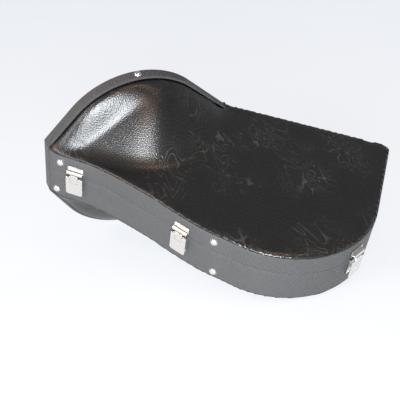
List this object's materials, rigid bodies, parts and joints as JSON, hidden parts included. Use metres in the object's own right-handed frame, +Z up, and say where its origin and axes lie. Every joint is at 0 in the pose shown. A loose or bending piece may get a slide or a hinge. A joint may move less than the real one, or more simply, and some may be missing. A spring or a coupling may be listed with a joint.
{
  "type": "fixed-bell horn case",
  "caption": "Hard-shell case for a fixed-bell horn: shallow body, domed bell hump above and below, hinged lid, draw latches and swinging handle.",
  "frame": {"origin": "centre of the footprint, on the surface that the case rests on", "axes": "+Z up, +Y along the mouth board from the front corner towards the straight back, +X from the mouth board towards the round end"},
  "size_m": [0.4512, 0.5746, 0.3412],
  "materials": {
    "panel_vinyl": "embossed vinyl with a crackle grain, semi-gloss",
    "wall_vinyl": "vinyl with a fine wavy grain, satin",
    "rim_board": "vinyl-faced fibre board",
    "nickel": "bright nickel plate",
    "plush": "short-pile plush",
    "covered_foam": "plush over foam",
    "grip_plastic": "moulded, satin"
  },
  "bodies": {
    "base": {"base_panel": "panel_vinyl", "base_side_wall": "wall_vinyl", "base_mouth_board": "wall_vinyl", "base_band": "wall_vinyl", "rim_tongue": "rim_board", "base_lining": "plush", "bell_saddle": "covered_foam", "body_rest": "covered_foam", "accessory_tray": "plush", "mouthpiece_block": "covered_foam", "latch_left_plate": "nickel", "latch_middle_plate": "nickel", "latch_right_plate": "nickel", "latch_left_pin": "nickel", "latch_middle_pin": "nickel", "latch_right_pin": "nickel", "hinge_near_base_leaf": "nickel", "hinge_far_base_leaf": "nickel", "hinge_near_pin": "nickel", "hinge_far_pin": "nickel", "handle_post_left": "nickel", "handle_post_right": "nickel", "stud_front_base": "nickel", "stud_bulge_base": "nickel", "stud_band_base": "nickel", "stud_mouth_base_front": "nickel", "stud_mouth_base_back": "nickel", "foot_front": "nickel", "foot_back": "nickel"},
    "lid": {"lid_panel": "panel_vinyl", "lid_side_wall": "wall_vinyl", "lid_mouth_board": "wall_vinyl", "lid_band": "wall_vinyl", "lid_lining": "plush", "lid_pad": "plush", "latch_left_catch": "nickel", "latch_middle_catch": "nickel", "latch_right_catch": "nickel", "hinge_near_lid_leaf": "nickel", "hinge_far_lid_leaf": "nickel", "stud_front_lid": "nickel", "stud_bulge_lid": "nickel", "stud_band_lid": "nickel", "stud_mouth_lid_front": "nickel", "stud_mouth_lid_back": "nickel"},
    "handle": {"handle_grip": "grip_plastic", "handle_loop_left": "nickel", "handle_loop_right": "nickel"},
    "lever_left": {"latch_left_lever": "nickel"},
    "claw_left": {"latch_left_claw": "nickel"},
    "lever_middle": {"latch_middle_lever": "nickel"},
    "claw_middle": {"latch_middle_claw": "nickel"},
    "lever_right": {"latch_right_lever": "nickel"},
    "claw_right": {"latch_right_claw": "nickel"}
  },
  "joints": [
    {"name": "lid_hinge", "type": "hinge", "parent": "base", "child": "lid", "pos_m": [-0.12724, 0.09655, 0.18916], "axis": [-0.6073, -0.7593, 0.2338], "range_deg": [0, 100]},
    {"name": "latch_left_lever_hinge", "type": "hinge", "parent": "base", "child": "lever_left", "pos_m": [-0.09602, -0.25613, 0.17606], "axis": [-0.6439, -0.7239, 0.2479], "range_deg": [0, 130]},
    {"name": "latch_left_claw_hinge", "type": "hinge", "parent": "lever_left", "child": "claw_left", "pos_m": [-0.09686, -0.2582, 0.16781], "axis": [-0.6439, -0.7239, 0.2479], "range_deg": [-130, 0]},
    {"name": "latch_middle_lever_hinge", "type": "hinge", "parent": "base", "child": "lever_middle", "pos_m": [0.07295, -0.13942, 0.11101], "axis": [-0.8198, -0.4777, 0.3156], "range_deg": [0, 130]},
    {"name": "latch_middle_claw_hinge", "type": "hinge", "parent": "lever_middle", "child": "claw_middle", "pos_m": [0.07141, -0.14205, 0.10303], "axis": [-0.8198, -0.4777, 0.3156], "range_deg": [-130, 0]},
    {"name": "latch_right_lever_hinge", "type": "hinge", "parent": "base", "child": "lever_right", "pos_m": [0.20551, 0.11291, 0.05998], "axis": [0.3284, -0.936, -0.1265], "range_deg": [0, 130]},
    {"name": "latch_right_claw_hinge", "type": "hinge", "parent": "lever_right", "child": "claw_right", "pos_m": [0.20525, 0.11396, 0.0515], "axis": [0.3284, -0.936, -0.1265], "range_deg": [-130, 0]},
    {"name": "handle_swing", "type": "hinge", "parent": "base", "child": "handle", "pos_m": [-0.07212, 0.18087, 0.14222], "axis": [0.6073, 0.7593, -0.2338], "range_deg": [0, 100]}
  ],
  "couplings": [
    {"joint": "latch_left_claw_hinge", "follows": "latch_left_lever_hinge", "ratio": -1},
    {"joint": "latch_middle_claw_hinge", "follows": "latch_middle_lever_hinge", "ratio": -1},
    {"joint": "latch_right_claw_hinge", "follows": "latch_right_lever_hinge", "ratio": -1}
  ]
}
